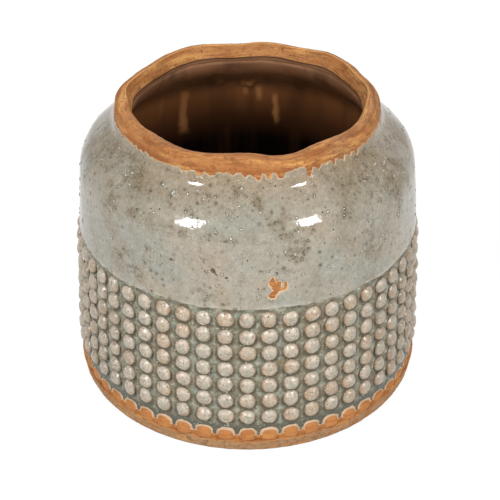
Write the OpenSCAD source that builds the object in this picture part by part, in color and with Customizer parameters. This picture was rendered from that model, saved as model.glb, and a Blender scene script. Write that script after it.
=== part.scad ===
// Hobnail planter: a round stoneware pot built from a base slab, a hobnail wall, a smooth shoulder
// with a short neck and a thick pinched lip, under a grey-green glaze that stops short of lip and foot.
// Millimetres. +Z up, origin at the centre of the foot on the ground, -Y is the front.

/* [Hobnail wall] */
// Outside diameter of the glazed ground where the wall leaves the foot band
band_d = 218.2; // [190:0.2:240]
// How far the wall leans in from the foot band to the step
band_lean = 4.4; // [0:0.1:12]
// Thickness of the clay wall
wall_t = 9.5; // [7:0.1:14]
// Number of glazed hobnail rows
hobnail_rows = 7; // [7]
// Diameter of one hobnail at its root
hobnail_d = 9.1; // [6:0.1:12]
// How far a hobnail stands out of the ground
hobnail_h = 2.8; // [1:0.1:4]
// Least gap between neighbours around a row
hobnail_gap = 3.4; // [2:0.1:8]
// Gap between one row and the next
row_gap = 2.4; // [1.6:0.1:6]
// Plain ground between the top row and the step
top_margin = 3; // [1:0.1:8]

/* [Smooth wall and shoulder] */
// How far the smooth wall stands out over the hobnail ground
step_out = 1; // [0.6:0.1:3]
// Height of the smooth wall from the step to the shoulder's curve
plain_h = 38.9; // [15:0.1:80]
// How far the smooth wall leans in over its height
plain_lean = 3; // [0:0.1:8]
// Radius of the shoulder's curve
shoulder_round = 25.7; // [16:0.1:40]
// Slope of the shoulder above its curve, in degrees from level
shoulder_slope = 44; // [30:1:60]

/* [Neck and lip] */
// Outside diameter of the neck where it stands upright
neck_d = 160.6; // [130:0.2:172]
// Radius of the hollow curve from the shoulder into the neck
neck_round = 13; // [6:0.5:18]
// How far the lip sits below the point where the neck is upright
lip_seat = 3.5; // [0:0.1:5]
// Width of the lip coil
lip_w = 11.2; // [9:0.1:16]
// Height of the lip coil
lip_h = 10.5; // [8:0.1:16]
// Radius of the lip's outer shoulder
lip_outer_round = 5.6; // [3:0.1:6]
// Radius of the lip's inner edge
lip_inner_round = 3.4; // [1:0.1:3.4]
// Strength of the finger pinches in the lip
pinch_strength = 1; // [0:0.1:1.5]

/* [Foot] */
// Height of the bare foot band
foot_h = 9.5; // [7:0.1:16]
// How far the foot band stands out over the glazed ground
foot_proud = 0.8; // [0.2:0.1:2]
// How far the foot band draws in towards the ground
foot_draw = 1.2; // [0:0.1:3]
// Rounding of the foot's lower edge
foot_round = 2; // [0.5:0.1:3]
// Height of the bare hobnail row's centres over the foot band
foot_row_rise = 4.5; // [4.5:0.1:12]
// Gap between the bare hobnail row and the lowest glazed row
foot_row_gap = 4.3; // [1.6:0.1:8]
// Width of the ring that the pot stands on
foot_ring_w = 17; // [10:0.5:30]
// Height of the hollow under the floor
recess_h = 2.5; // [1:0.1:5]
// Thickness of the floor
floor_t = 9.5; // [8:0.1:16]
// Diameter of the drain hole
drain_d = 14; // [6:0.5:30]

/* [Glaze] */
// Thickness of the outer glaze
glaze_t = 0.8; // [0.4:0.1:1.4]
// Thickness of the inner glaze
liner_t = 0.6; // [0.3:0.1:1.2]
// How far the glaze stays above the bare hobnail row
glaze_foot_gap = 0.3; // [0.1:0.1:1]
// How far the inner glaze stays back from the drain hole
drain_glaze_gap = 2; // [0.5:0.5:6]
// Angle of the chipped glaze from the front, towards the right
chip_angle = 9; // [0:1:359]
// Height of the chip's middle over the step
chip_rise = 14; // [10:0.5:20]
// Width of the chipped patch
chip_w = 12; // [6:0.5:14]

/* [Hidden] */
$fn = 96;

clay = "#C08450";
ground_glaze = "#8F8B79";
hobnail_glaze = "#BCB0A1";
grey_glaze = "#ABA495";
brown_glaze = "#4A2F1C";

// Where the pinches lie around the lip: angle from the front, and how far each moves the lip out
pinches = [[-175, -3], [-152, 2.2], [-122, -2.2], [-98, 0.4], [-86, -0.3], [-72, 0.4], [-48, -0.6],
           [-28, 2], [-2, -2.6], [17, 2.4], [38, -2], [60, 0.6], [84, -0.6], [98, -0.3], [112, -1.2],
           [138, 2.6], [156, -1.2], [170, 0.6]];
// Share of a pinch that reaches down to the root of the lip
pinch_root = 0.5;
lip_steps = 72;
curve_steps = 12;
corner_steps = 5;
overcut = 5;

// Heights, from the ground up
floor_z = recess_h + floor_t;
foot_row_z = foot_h + foot_row_rise;
row_pitch = hobnail_d + row_gap;
glaze_foot_z = foot_row_z + hobnail_d / 2 + glaze_foot_gap;
first_row_z = foot_row_z + hobnail_d + foot_row_gap;
step_z = first_row_z + (hobnail_rows - 1) * row_pitch + hobnail_d / 2 + top_margin;

// Radii of the finished outer surface, glaze included, and of the clay under it
plain_foot_r = band_d / 2 - band_lean + step_out;
function ground_r(z) = band_d / 2 - band_lean * (z - foot_h) / (step_z - foot_h);
function clay_r(z) = ground_r(z) - glaze_t;
function inside_r(z) = clay_r(z) - wall_t;
joint_in_r = inside_r(step_z);

// The outer surface of wall, shoulder and neck: two centres of arcs with a straight slope between them
plain_lean_a = atan(plain_lean / plain_h);
round_c = [plain_foot_r - plain_lean - shoulder_round * cos(plain_lean_a),
           step_z + plain_h - shoulder_round * sin(plain_lean_a)];
slope_a = 90 - shoulder_slope;
slope_start = round_c + shoulder_round * [cos(slope_a), sin(slope_a)];
slope_end_r = neck_d / 2 + neck_round * (1 - cos(slope_a));
hollow_c = [neck_d / 2 + neck_round,
            slope_start[1] + (slope_start[0] - slope_end_r) * tan(shoulder_slope) + neck_round * sin(slope_a)];
lip_z = hollow_c[1] - lip_seat;

// The lap between the hobnail wall and the shoulder
lap_h = 3;
lap_r = joint_in_r + wall_t / 2;

// Hobnails are caps of a ball, set upright on the leaning ground
ball_r = (pow(hobnail_d / 2, 2) + pow(hobnail_h, 2)) / (2 * hobnail_h);
ground_lean = atan(band_lean / (step_z - foot_h));
hobnail_count = floor(PI * (band_d - 2 * band_lean) / (hobnail_d + hobnail_gap));

// An arc of radius r about c, from angle a0 to a1, in n steps
function arc(c, r, a0, a1, n) = [for (i = [0 : n])
    let (a = a0 + (a1 - a0) * i / n)
    c + r * [cos(a), sin(a)]];

function backwards(points) = [for (i = [len(points) - 1 : -1 : 0]) points[i]];

// The surface that lies t under the outer one, from the foot of the shoulder's curve to the lip
function shoulder_line(t) = concat(
    arc(round_c, shoulder_round - t, plain_lean_a, slope_a, curve_steps),
    arc(hollow_c, neck_round + t, 180 + slope_a, 180 + asin(lip_seat / (neck_round + t)), curve_steps));

// The same with the smooth wall below it, down to the step
function outside_line(t) = concat([[plain_foot_r - t, step_z]], shoulder_line(t));

// How far the pinches move the lip at angle a
function pinch_after(a, i = 0) = i == len(pinches) || a < pinches[i][0] ? i : pinch_after(a, i + 1);
function pinch_at(a) =
    let (n = len(pinches),
         i = pinch_after(a),
         lo = pinches[(i + n - 1) % n],
         hi = pinches[i % n],
         start = lo[0] - (i == 0 ? 360 : 0),
         end = hi[0] + (i == n ? 360 : 0),
         ease = (1 - cos(180 * (a - start) / (end - start))) / 2)
    pinch_strength * (lo[1] + (hi[1] - lo[1]) * ease);

// The lip's section: flat where it sits on the neck, round on top
function lip_section() = concat(
    [[lip_w / 2, 0]],
    arc([lip_w / 2 - lip_outer_round, lip_h - lip_outer_round], lip_outer_round, 0, 90, corner_steps),
    arc([lip_inner_round - lip_w / 2, lip_h - lip_inner_round], lip_inner_round, 90, 180, corner_steps),
    [[-lip_w / 2, 0]]);

// One closed ring of triangles through the lip's sections
module lip_ring() {
    section = lip_section();
    m = len(section);
    mid_r = (neck_d - lip_w) / 2;
    points = [for (k = [0 : lip_steps - 1])
        let (a = -180 + 360 * k / lip_steps, push = pinch_at(a))
        for (p = section)
            let (r = mid_r + p[0] + push * (pinch_root + (1 - pinch_root) * p[1] / lip_h))
            [r * sin(a), -r * cos(a), lip_z + p[1]]];
    faces = [for (k = [0 : lip_steps - 1])
        let (next = (k + 1) % lip_steps)
        for (j = [0 : m - 1])
            let (a = k * m + j, b = k * m + (j + 1) % m, c = next * m + (j + 1) % m, d = next * m + j)
            for (face = [[a, b, c], [a, c, d]]) face];
    polyhedron(points, faces);
}

// A cut through the middle of a hobnail: its foot lies along X
module hobnail_section() {
    intersection() {
        translate([0, hobnail_h - ball_r]) circle(r = ball_r);
        translate([-hobnail_d / 2, 0]) square([hobnail_d, hobnail_h]);
    }
}

// Half of that cut, spun about the hobnail's own axis through the given angle
module hobnail_spun(angle) {
    rotate_extrude(angle = angle)
        intersection() {
            hobnail_section();
            square([hobnail_d, hobnail_h]);
        }
}

// Places one copy of the child for each hobnail around a row, with its foot on the surface r, z
module around(r, z) {
    for (i = [0 : hobnail_count - 1])
        rotate([0, 0, 360 * i / hobnail_count])
            translate([0, -r, z])
                rotate([90 - ground_lean, 0, 0])
                    children();
}

module base_slab() {
    color(clay)
        rotate_extrude()
            polygon(concat(
                [[drain_d / 2, recess_h],
                 [ground_r(0) - foot_ring_w, recess_h],
                 [ground_r(0) - foot_ring_w + recess_h / 2, 0]],
                arc([ground_r(0) + foot_proud - foot_draw - foot_round, foot_round], foot_round, 270, 360,
                    corner_steps),
                [[ground_r(foot_h) + foot_proud, foot_h],
                 [inside_r(foot_h), foot_h],
                 [inside_r(floor_z), floor_z],
                 [drain_d / 2, floor_z]]));
}

module hobnail_wall() {
    color(clay)
        rotate_extrude()
            polygon([[clay_r(foot_h), foot_h],
                     [clay_r(step_z), step_z],
                     [lap_r, step_z],
                     [lap_r, step_z + lap_h],
                     [joint_in_r, step_z + lap_h],
                     [joint_in_r, step_z],
                     [inside_r(foot_h), foot_h]]);
}

module shoulder() {
    color(clay)
        rotate_extrude()
            polygon(concat(
                outside_line(glaze_t),
                backwards(shoulder_line(glaze_t + wall_t)),
                [[joint_in_r, step_z + lap_h], [lap_r, step_z + lap_h], [lap_r, step_z]]));
}

module lip_coil() {
    color(clay)
        lip_ring();
}

// Bare hobnails: a half-round top with straight sides that run down to the foot band
module foot_hobnails() {
    color(clay)
        around(clay_r(foot_row_z), foot_row_z)
            union() {
                hobnail_spun(180);
                rotate([90, 0, 0])
                    linear_extrude(foot_row_rise / cos(ground_lean))
                        hobnail_section();
            }
}

// Glazed hobnails of one row, the lowest row first
module hobnail_row(row) {
    z = first_row_z + (row - 1) * row_pitch;
    color(hobnail_glaze)
        around(ground_r(z), z)
            hobnail_spun(360);
}

module band_glaze() {
    color(ground_glaze)
        rotate_extrude()
            polygon([[clay_r(glaze_foot_z), glaze_foot_z],
                     [ground_r(glaze_foot_z), glaze_foot_z],
                     [ground_r(step_z - glaze_t), step_z - glaze_t],
                     [clay_r(step_z - glaze_t), step_z - glaze_t]]);
}

// The patch where the glaze has come off: overlapping round bites, each with its place right and up
// from the middle and its radius, as shares of the patch's width
module chip() {
    bites = [[-0.19, 0.23, 0.2], [-0.15, 0.43, 0.1], [0.1, 0.22, 0.15], [0.02, -0.02, 0.25],
             [-0.08, -0.28, 0.17], [-0.21, -0.46, 0.17], [0.3, -0.1, 0.09], [0.43, 0.02, 0.13]];
    for (bite = bites)
        rotate([0, 0, chip_angle])
            translate([bite[0] * chip_w, -plain_foot_r - overcut, step_z + chip_rise + bite[1] * chip_w])
                rotate([-90, 0, 0])
                    cylinder(h = 2 * overcut + plain_lean, r = bite[2] * chip_w);
}

// Outer glaze of shoulder and neck, turned in under the step
module shoulder_glaze() {
    color(grey_glaze)
        difference() {
            rotate_extrude()
                polygon(concat(
                    [[clay_r(step_z), step_z - glaze_t], [plain_foot_r, step_z - glaze_t]],
                    outside_line(0),
                    backwards(outside_line(glaze_t)),
                    [[clay_r(step_z), step_z]]));
            chip();
        }
}

// Inner glaze, from the drain hole over floor and wall to the root of the lip
module liner_glaze() {
    color(brown_glaze)
        rotate_extrude()
            polygon(concat(
                [[drain_d / 2 + drain_glaze_gap, floor_z],
                 [inside_r(floor_z), floor_z],
                 [joint_in_r, step_z],
                 [joint_in_r, step_z + lap_h]],
                shoulder_line(glaze_t + wall_t),
                backwards(shoulder_line(glaze_t + wall_t + liner_t)),
                [[joint_in_r - liner_t, step_z + lap_h],
                 [joint_in_r - liner_t, step_z],
                 [inside_r(floor_z) - liner_t, floor_z + liner_t],
                 [drain_d / 2 + drain_glaze_gap, floor_z + liner_t]]));
}

base_slab();
hobnail_wall();
shoulder();
lip_coil();
foot_hobnails();
hobnail_row(1);  // hobnail_row_1
hobnail_row(2);  // hobnail_row_2
hobnail_row(3);  // hobnail_row_3
hobnail_row(4);  // hobnail_row_4
hobnail_row(5);  // hobnail_row_5
hobnail_row(6);  // hobnail_row_6
hobnail_row(7);  // hobnail_row_7
band_glaze();
shoulder_glaze();
liner_glaze();
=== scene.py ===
import math
from functools import partial

import bpy
import numpy as np
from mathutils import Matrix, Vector
from mathutils.kdtree import KDTree


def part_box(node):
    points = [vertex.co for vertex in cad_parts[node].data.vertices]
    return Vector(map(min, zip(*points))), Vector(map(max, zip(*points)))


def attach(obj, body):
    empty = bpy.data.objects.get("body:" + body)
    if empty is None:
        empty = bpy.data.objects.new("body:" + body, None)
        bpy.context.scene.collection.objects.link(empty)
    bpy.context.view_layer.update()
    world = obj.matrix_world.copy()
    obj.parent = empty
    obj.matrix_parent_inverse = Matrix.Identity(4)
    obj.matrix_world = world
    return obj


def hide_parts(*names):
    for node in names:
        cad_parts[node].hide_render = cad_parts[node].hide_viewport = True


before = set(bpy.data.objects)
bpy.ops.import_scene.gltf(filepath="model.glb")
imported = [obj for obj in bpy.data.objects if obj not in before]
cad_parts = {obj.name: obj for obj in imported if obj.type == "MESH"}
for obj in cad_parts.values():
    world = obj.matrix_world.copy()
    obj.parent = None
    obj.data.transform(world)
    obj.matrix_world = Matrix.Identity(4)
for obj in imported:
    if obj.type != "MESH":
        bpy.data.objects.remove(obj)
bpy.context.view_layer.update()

bl_info = {
    "name": "Hobnail planter",
    "version": (1, 0, 0),
    "blender": (4, 5, 0),
    "location": "View3D > Sidebar > Planter",
    "description": "A hand-built clay planter with glazed hobnails, a smooth shoulder and a bare pinched lip",
    "category": "Add Mesh",
}


def mm(value):
    """Millimetres in Blender's metres."""
    return value * 0.001


# ---------------------------------------------------------------- sizes and colours

ROWS = [f"hobnail_row_{i}" for i in range(1, 8)]
ROW_Z = [sum(corner.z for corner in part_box(row)) / 2 for row in ROWS]
ROW_PITCH = (ROW_Z[-1] - ROW_Z[0]) / (len(ROWS) - 1)
STEP_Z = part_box("shoulder")[0].z
LIP_Z, LIP_TOP = (corner.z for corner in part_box("lip_coil"))
FOOT_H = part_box("hobnail_wall")[0].z
FLOOR_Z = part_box("liner_glaze")[0].z
FOOT_ROW_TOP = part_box("foot_hobnails")[1].z


def size(name, description, millimetres):
    """A length that a user may change."""
    return bpy.props.FloatProperty(
        name=name, description=description, default=mm(millimetres), unit="LENGTH", precision=5)


def colour(name, description, code):
    """A colour that a user may change, from its sRGB hex value."""
    return bpy.props.FloatVectorProperty(
        name=name, description=description, default=linear(code), size=4, subtype="COLOR", min=0, max=1)


def linear(code):
    """An sRGB hex colour as the linear colour that Blender mixes with."""
    parts = [int(code[i:i + 2], 16) / 255 for i in (1, 3, 5)]
    return tuple(c / 12.92 if c <= 0.04045 else ((c + 0.055) / 1.055) ** 2.4 for c in parts) + (1.0,)


class PotSizes(bpy.types.PropertyGroup):
    band_r: size("Band radius", "Radius of the hobnail band's ground at the top of the foot", 109.1)
    band_lean: size("Band lean", "How far the band leans in up to the step", 4.4)
    step_out: size("Step", "How far the smooth wall stands out over the band", 1)
    plain_h: size("Smooth wall height", "Height of the smooth wall over the step", 38.9)
    plain_lean: size("Smooth wall lean", "How far the smooth wall leans in", 3)
    shoulder_round: size("Shoulder round", "Radius of the shoulder's curve", 25.7)
    shoulder_slope: bpy.props.FloatProperty(
        name="Shoulder slope", description="Slope of the shoulder under the neck", default=math.radians(44),
        subtype="ANGLE")
    neck_r: size("Neck radius", "Radius of the neck at its narrowest", 80.3)
    neck_round: size("Neck round", "Radius of the hollow under the lip", 13)
    wall_t: size("Wall", "Thickness of the clay wall", 9.5)
    glaze_t: size("Glaze", "Thickness of the outer glaze", 0.8)
    liner_t: size("Inner glaze", "Thickness of the inner glaze", 0.6)
    lip_w: size("Lip width", "Width of the clay coil around the mouth", 11.2)
    lip_outer_round: size("Lip outer round", "Rounding of the lip's outer edge", 5.6)
    lip_inner_round: size("Lip inner round", "Rounding of the lip's inner edge", 3.4)
    glaze_edge_z: size("Glaze edge height", "Mean height at which the shoulder glaze ends", 177.6)
    hobnails: bpy.props.IntProperty(name="Hobnails", description="Hobnails around one row", default=52, min=8)
    hobnail_d: size("Hobnail width", "Diameter of a hobnail", 9.1)
    hobnail_h: size("Hobnail height", "How far a hobnail stands out", 2.8)
    drain_d: size("Drain hole", "Width of the hole in the floor", 14)


class PotColours(bpy.types.PropertyGroup):
    clay: colour("Clay", "Fired clay where fingers smoothed it", "#BD844B")
    clay_deep: colour("Deep clay", "Clay along the glaze and in its creases", "#9E5F2F")
    clay_pale: colour("Pale clay", "Dry, dusty clay at the foot", "#A58562")
    grey: colour("Grey glaze", "Grey-green glaze where it is even", "#A0998A")
    grey_cool: colour("Cool glaze", "Glaze where it lies thick", "#92958A")
    grey_warm: colour("Warm glaze", "Glaze where the clay warms it", "#A59681")
    hobnail: colour("Hobnail", "Thin glaze over the hobnails' crowns", "#B9AD9C")
    ground: colour("Ground", "Glaze pooled between the hobnails", "#87836F")
    cream: colour("Glaze rim", "Pale line where the glaze thins out", "#D6B48C")
    brown: colour("Brown glaze", "Brown inner glaze where it thins out on the lip", "#8A6042")
    backdrop: colour("Backdrop", "Floor under the pot", "#F4F4F4")


# Angles are in degrees from the front, to the right, and lengths in mm, in all the lists below.

# Where the lip is pinched, and how far it moves out there
PINCHES = [(-175, -3), (-152, 2.2), (-122, -2.2), (-98, 0.4), (-86, -0.3), (-72, 0.4), (-48, -0.6),
           (-28, 2), (-2, -2.6), (17, 2.4), (38, -2), (60, 0.6), (84, -0.6), (98, -0.3), (112, -1.2),
           (138, 2.6), (156, -1.2), (170, 0.6)]

# The chip in the glaze: its angle, its height over the step, and its round bites: how far right and up their
# middles lie from the chip's, and their radii
CHIP_ANGLE = 9.0
CHIP_RISE = 14.0
CHIP_BITES = [(-2.2, 2.8, 2.3), (-1.9, 5.2, 1.2), (-1.9, 6.9, 0.6), (1.3, 2.7, 1.6), (0.2, -0.2, 2.7),
              (-0.9, -3.2, 1.7), (-2.7, -5.3, 1.9), (-1.4, -6.0, 1.4), (3.2, -1.5, 1.1), (4.4, -0.9, 1.2),
              (5.3, 0.2, 1.4), (5.4, 1.9, 0.9)]

# Where the dip was handled or smoked, and is brownish and speckled: angle, height, half width and half height
SMUDGES = [(-70, 161, 4, 3), (-56.5, 169.5, 9, 4), (-49, 164.5, 9, 5), (-52, 152.5, 8, 7),
           (-39.5, 151.7, 5, 3), (-33.2, 128, 3, 7), (-38, 114, 5, 6), (-27.5, 149, 6, 2.5),
           (-30, 137.3, 4, 2.5), (-42, 123.7, 8, 4), (52, 167.4, 9, 6), (39, 171.3, 10, 6),
           (53, 157, 10, 7), (47, 128, 8, 7), (43.6, 124, 6, 8), (68, 150, 3, 8), (-26.3, 163.3, 3.5, 3.5),
           (-16.5, 168, 5, 4), (-5.7, 169, 6, 4), (4.5, 165.6, 4, 3), (-22, 149.5, 4, 1.5),
           (-13, 148.5, 3, 1.5), (-5, 148, 5, 1.3), (3.5, 148.5, 3, 1.2), (12, 149.5, 4, 1.5),
           (21, 150, 4, 1.8), (-26.5, 150, 4, 3), (10, 157, 7, 4), (17, 141, 3, 7), (13.3, 134, 7, 6),
           (-14.7, 111.5, 5, 4), (7.6, 129, 6, 2.5), (-83, 155, 4, 7), (-90, 160, 5, 7), (81, 163, 6, 9),
           (17, 154.6, 6, 3), (34, 156, 5, 3), (100, 150, 8, 6), (118, 166, 10, 5), (133, 128, 6, 9),
           (150, 158, 9, 5), (168, 140, 5, 6), (-172, 165, 9, 4), (-158, 122, 6, 8), (-140, 154, 9, 5),
           (-125, 136, 6, 7), (-106, 167, 8, 5), (-100, 126, 5, 7), (63, 161, 7, 7), (74, 168, 8, 5),
           (60, 146, 5, 7), (-64, 166, 9, 6)]

# Brown iron spots in the grey glaze: angle, height, half width, half height, and rise per mm to the right
IRON_SPOTS = [(-10.9, 129.4, 1.4, 1.3, 0), (-10.1, 127.8, 2.6, 0.9, -0.95), (-13.9, 129.2, 1.4, 0.9, -1.1),
              (-12.4, 127.6, 1.5, 0.5, 0), (-6.4, 125.2, 0.9, 0.9, 0), (27.2, 140.5, 0.7, 0.8, 0),
              (-24.3, 131.2, 1.3, 1.2, 0), (-118, 133, 2.2, 1.2, 0.6), (112, 138, 1.8, 1.1, -0.5),
              (163, 126, 2.4, 1.3, 0.3), (-166, 142, 1.5, 1.4, 0)]

# The ragged upper edge of the shoulder's glaze at the front: angle and height
FRONT_EDGE = [(-34.5, 177.3), (-32.4, 178.7), (-31.5, 178.1), (-29.5, 178.2), (-28.1, 179.3),
              (-26.4, 176.4), (-25.5, 176.7), (-23.0, 178.1), (-20.9, 178.7), (-20.1, 175.7),
              (-18.4, 175.7), (-17.3, 178.3), (-14.8, 176.2), (-13.2, 176.8), (-12.3, 178.1), (-9.3, 178.3),
              (-6.9, 178.4), (-5.7, 176.9), (-4.1, 178.5), (-2.7, 178.7), (-0.7, 175.8), (0.7, 177.5),
              (1.5, 177.7), (3.8, 174.7), (5.0, 175.5), (5.8, 177.9), (7.0, 178.0), (7.7, 175.8),
              (9.3, 175.8), (10.1, 179.1), (11.2, 179.0), (12.4, 175.6), (14.3, 175.7), (15.1, 178.6),
              (17.1, 179.5), (20.4, 180.7), (23.6, 179.4), (24.1, 177.2), (24.5, 174.1), (25.7, 173.6),
              (26.6, 176.2), (27.0, 178.5), (28.2, 177.9), (29.3, 175.4), (30.3, 175.5)]

# Thick drips of brown glaze inside: angle, top, foot, half width and relief
DRIPS = [(-152, 148, 116, 3.4, 0.8), (-151, 125, 121, 2.2, 1.8), (168, 139, 119, 2.5, 1.4),
         (179.5, 150, 147, 2.6, 2.4), (177.5, 153, 150, 1.8, 0.9), (-178, 152, 147, 1.6, 0.9),
         (175.5, 145, 136, 2.6, 0.8), (-179, 145, 140, 2.2, 0.6), (-167, 155, 150, 3.4, 0.5),
         (-141, 152, 133, 2.4, 0.2), (62, 148, 113, 2.8, 0.9), (-35, 152, 127, 3.2, 0.9),
         (14, 139, 121, 2.4, 0.8), (115, 152, 134, 3.4, 0.6), (-93, 146, 108, 2.7, 0.8)]

# The lamps: name, angle from the front and over the floor in degrees, watts, width and height in metres
SOFTBOXES = [("left", -39, 31.5, 9.6, 0.32, 0.4), ("right", 42, 31.5, 9.1, 0.32, 0.4),
             ("back", 178, 42, 4.5, 1.1, 0.8), ("top", 0, 89, 3.5, 0.9, 0.9)]
LAMP_AIM, LAMP_AWAY = Vector((0, 0, mm(130))), 1.35

# The camera: where it looks, how far off it is and how many degrees it looks down, and its focal length in
# pixels of the picture, the picture's width in pixels, and the sensor's in mm
AIM, AWAY, DOWN = Vector((mm(1.5), 0, mm(74.5))), mm(852), 33.91
FOCAL_PX, PICTURE_PX, SENSOR = 1323.4, 500, 36


# ---------------------------------------------------------------- the pot's lines

def ease(value, low, high):
    """0 at low, 1 at high, smooth between."""
    t = np.clip((value - low) / (high - low), 0, 1)
    return t * t * (3 - 2 * t)


def ripple(x, y, z, wavelength, seed, waves=18):
    """A smooth random field of unit spread with bumps of about one wavelength, the same on each run."""
    rng = np.random.default_rng(seed)
    total = 0
    for _ in range(waves):
        way = rng.normal(size=3)
        way *= 2 * math.pi / (wavelength * rng.uniform(0.7, 1.5) * np.linalg.norm(way))
        total = total + np.cos(way[0] * x + way[1] * y + way[2] * z + rng.uniform(0, 2 * math.pi))
    return total * math.sqrt(2 / waves)


def turn(count):
    """Angles all round the pot, from the back over the left to the front and on."""
    return np.linspace(-math.pi, math.pi, count + 1)[:-1]


def around(angle, radius):
    """Where points lie to the right and to the back."""
    return radius * np.sin(angle), -radius * np.cos(angle)


def beside(angle, degrees, radius):
    """How far points lie to the right of an angle, along the wall."""
    return ((angle - math.radians(degrees) + math.pi) % (2 * math.pi) - math.pi) * radius


def within(angle, radius, count):
    """How far points lie to the right of the nearest hobnail's middle, where a row has so many hobnails."""
    return ((angle * count / (2 * math.pi) + 0.5) % 1 - 0.5) * 2 * math.pi * radius / count


def pinch(angle):
    """How far the pinches move the lip out at each angle."""
    at = np.degrees((angle + math.pi) % (2 * math.pi) - math.pi)
    (first, first_push), (last, last_push) = PINCHES[0], PINCHES[-1]
    where, push = np.array([(last - 360, last_push), *PINCHES, (first + 360, first_push)], float).T
    i = np.clip(np.searchsorted(where, at, side="right") - 1, 0, len(where) - 2)
    t = (at - where[i]) / (where[i + 1] - where[i])
    return mm(push[i] + (push[i + 1] - push[i]) * (1 - np.cos(math.pi * t)) / 2)


def pinched(angle, z):
    """The pinches' push at each angle and height: it starts in the neck and is whole at the lip's top."""
    in_lip = np.clip((z - LIP_Z) / (LIP_TOP - LIP_Z), 0, 1)
    return pinch(angle) * (0.5 * ease(z, mm(169), LIP_Z) + 0.5 * in_lip)


def ground_r(s, z):
    """Radius of the band's ground."""
    return s.band_r - s.band_lean * (z - FOOT_H) / (STEP_Z - FOOT_H)


def arc(middle, radius, start, end, count):
    """Points of an arc, from one angle to another."""
    a = np.linspace(start, end, count)
    return np.stack([middle[0] + radius * np.cos(a), middle[1] + radius * np.sin(a)], 1)


def outer_line(s, inset, top, foot_r=None):
    """The line of wall, shoulder, neck and the lip's outer face, at a depth under the glazed surface, up to
    a height. foot_r is its radius at the step, where that isn't the smooth wall's own."""
    lean = math.atan2(s.plain_lean, s.plain_h)
    slope = math.pi / 2 - s.shoulder_slope
    wall_r = s.band_r - s.band_lean + s.step_out
    curve = np.array([wall_r - s.plain_lean - s.shoulder_round * math.cos(lean),
                      STEP_Z + s.plain_h - s.shoulder_round * math.sin(lean)])
    start = curve + s.shoulder_round * np.array([math.cos(slope), math.sin(slope)])
    end_r = s.neck_r + s.neck_round * (1 - math.cos(slope))
    hollow = (s.neck_r + s.neck_round,
              start[1] + (start[0] - end_r) * math.tan(s.shoulder_slope) + s.neck_round * math.sin(slope))
    line = np.concatenate([
        [[foot_r or wall_r - inset, STEP_Z]],
        arc(curve, s.shoulder_round - inset, lean, slope, 60),
        arc(hollow, s.neck_round + inset, math.pi + slope, math.pi, 60),
        [[s.neck_r - inset, LIP_TOP]]])
    end = [np.interp(top, line[:, 1], line[:, 0]), top]
    return np.concatenate([line[line[:, 1] < top - mm(0.05)], [end]])


def inner_line(s):
    """The line of the clay inside the pot, from the step to the lip's root."""
    inset = s.glaze_t + s.wall_t
    return outer_line(s, inset, LIP_Z, ground_r(s, STEP_Z) - inset)


def length_along(line):
    """How far along a line each of its points lies."""
    return np.concatenate([[0], np.cumsum(np.linalg.norm(np.diff(line, axis=0), axis=1))])


def resample(line, count):
    """Points and outward normals evenly along a line."""
    along = length_along(line)
    at = np.linspace(0, along[-1], count)
    points = np.stack([np.interp(at, along, line[:, k]) for k in (0, 1)], 1)
    way = np.gradient(points, axis=0)
    way /= np.linalg.norm(way, axis=1)[:, None]
    return points, np.stack([way[:, 1], -way[:, 0]], 1)


def spun(angle, line, heights=None):
    """Radius and height of a line turned round the pot, on a grid, with the pinches' push at its own or at
    other heights."""
    radius = line[:, 0:1] + pinched(angle[None, :], line[:, 1:2] if heights is None else heights[:, None])
    return radius, line[:, 1:2] + 0 * radius


def pushed(radius, height, normal, reach):
    """Points moved out along their normals."""
    return radius + reach * normal[:, 0:1], height + reach * normal[:, 1:2]


# ---------------------------------------------------------------- meshes and nodes

def ring_mesh(name, angle, sides, fields):
    """A closed ring. Its section runs through the radius and height of each side, and comes back to its
    start. The fields are named values on the first side's points, and 0 on the others."""
    radius, height = (np.concatenate(parts) for parts in zip(*sides))
    rows, columns = radius.shape
    points = np.stack([*around(angle, radius), height], 2).reshape(-1, 3)
    a = np.arange(rows * columns).reshape(rows, columns)
    b = np.roll(a, -1, 1)
    faces = np.stack([a, b, np.roll(b, -1, 0), np.roll(a, -1, 0)], 2).reshape(-1, 4)
    if np.sum((np.roll(radius[:, 0], -1) - radius[:, 0]) * (np.roll(height[:, 0], -1) + height[:, 0])) > 0:
        faces = faces[:, ::-1]
    values = {}
    for key, field in fields.items():
        values[key] = np.zeros((rows, columns) + field.shape[2:])
        values[key][:len(field)] = field
        values[key] = values[key].reshape(-1, *field.shape[2:])
    return add_mesh(name, points, faces.tolist(), values)


def add_mesh(name, points, faces, values):
    """A smooth-shaded object from points and faces, with named values on its points."""
    mesh = bpy.data.meshes.new(name)
    mesh.from_pydata(points.tolist(), [], faces)
    for key, value in values.items():
        kind, field = ("FLOAT_VECTOR", "vector") if value.ndim == 2 else ("FLOAT", "value")
        mesh.attributes.new(key, kind, "POINT").data.foreach_set(field, value.astype(np.float32).ravel())
    mesh.shade_smooth()
    piece = bpy.data.objects.new(name, mesh)
    bpy.context.scene.collection.objects.link(piece)
    return piece


def node(tree, kind, *inputs, **settings):
    """Adds a node with its settings and inputs. Its kind goes without ShaderNode in front, and with a Math
    node's operation after it."""
    kind, _, operation = kind.partition(" ")
    made = tree.nodes.new(kind if "Node" in kind else "ShaderNode" + kind)
    if operation:
        made.operation = operation
    for key, value in settings.items():
        setattr(made, key, value)
    wire(made, *inputs)
    return made


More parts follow.
